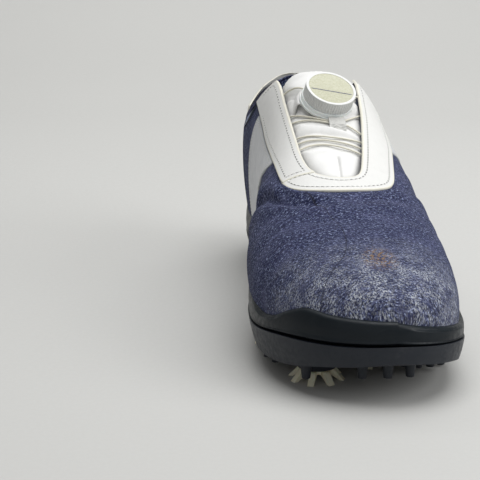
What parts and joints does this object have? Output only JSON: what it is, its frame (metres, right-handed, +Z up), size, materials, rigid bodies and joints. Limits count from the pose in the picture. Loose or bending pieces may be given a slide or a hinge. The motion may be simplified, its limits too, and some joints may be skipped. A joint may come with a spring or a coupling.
{
  "type": "golf shoe",
  "caption": "Low-cut golf shoe with a padded tongue, a cable lace wound by a turning dial, a moulded sole with lugs and screw-in soft spikes.",
  "frame": {"origin": "centre of the bounding box, at floor level under the spike tips", "axes": "+Z up, +Y from toe to heel (the longest extent), +X to the outer (lateral) side of a left shoe"},
  "size_m": [0.1016, 0.2946, 0.1256],
  "materials": {
    "textile": "heathered navy wool-like knit, fuzzed and scuffed at the toe",
    "white_leather": "smooth white leather, cream raw edges",
    "grey_band": "pearl grey coated band",
    "midsole_foam": "dark navy moulded foam, satin skin",
    "outsole_rubber": "grey navy moulded outsole, fine grain",
    "spike_tpu": "yellowed cream flexible plastic",
    "spike_hub": "dark brown plastic",
    "receptacle_nylon": "black nylon",
    "shank_plastic": "glass-filled nylon",
    "board": "pressed fibre board",
    "sock_foam": "foam sockliner with a navy knit face",
    "stiffener": "thermoformed stiffener sheet",
    "lining_knit": "navy knit lining",
    "collar_knit": "saturated navy collar lining",
    "soft_foam": "open cell foam",
    "tongue_knit": "white knit",
    "gusset_knit": "stretch knit",
    "white_webbing": "woven white webbing",
    "lace_cable": "cream coated cable",
    "guide_plastic": "slick white nylon",
    "dial_white": "translucent white nylon",
    "dial_grey": "light grey knurled plastic",
    "dial_cream": "glossy cream inlay with a plain navy line",
    "steel": "steel"
  },
  "bodies": {
    "shoe": {"collar_foam": "soft_foam", "collar_lining": "collar_knit", "eyestay_lateral": "white_leather", "eyestay_medial": "white_leather", "heel_counter": "stiffener", "heel_panel": "textile", "heel_tab": "white_leather", "insole_board": "board", "lace": "lace_cable", "lace_guides": "guide_plastic", "midsole": "midsole_foam", "outsole": "outsole_rubber", "quarter_lateral": "textile", "quarter_lining": "lining_knit", "quarter_medial": "textile", "shank": "shank_plastic", "side_band_lateral": "grey_band", "side_band_medial": "grey_band", "sockliner": "sock_foam", "soft_spikes": "spike_tpu", "spike_hubs": "spike_hub", "spike_receptacles": "receptacle_nylon", "toe_puff": "stiffener", "tongue_gusset_lateral": "gusset_knit", "tongue_gusset_medial": "gusset_knit", "tongue_root": "tongue_knit", "vamp": "textile", "vamp_lining": "lining_knit"},
    "tongue": {"tongue_cover": "white_leather", "tongue_foam": "soft_foam", "tongue_lining": "tongue_knit", "lace_loop": "white_webbing", "dial_base": "dial_white", "snap_ring": "steel", "dial_screw": "steel"},
    "pawl_drive": {"pawl_disc": "dial_grey", "lace_spool": "guide_plastic", "wound_lace": "lace_cable"},
    "dial_knob": {"dial_knob": "dial_grey", "dial_inlay": "dial_cream"}
  },
  "joints": [
    {"name": "tongue_hinge", "type": "hinge", "parent": "shoe", "child": "tongue", "pos_m": [0.0013, -0.04123, 0.081], "axis": [1, 0, 0], "range_deg": [0, 20], "deforming": ["lace", "tongue_gusset_medial", "tongue_gusset_lateral"]},
    {"name": "dial_turn", "type": "hinge", "parent": "tongue", "child": "pawl_drive", "pos_m": [0.00292, 0.02347, 0.1095], "axis": [0.1598, -0.4965, 0.8532], "continuous": true},
    {"name": "dial_pull", "type": "slide", "parent": "pawl_drive", "child": "dial_knob", "axis": [0.1598, -0.4965, 0.8532], "range_m": [0, 0.0025]}
  ]
}
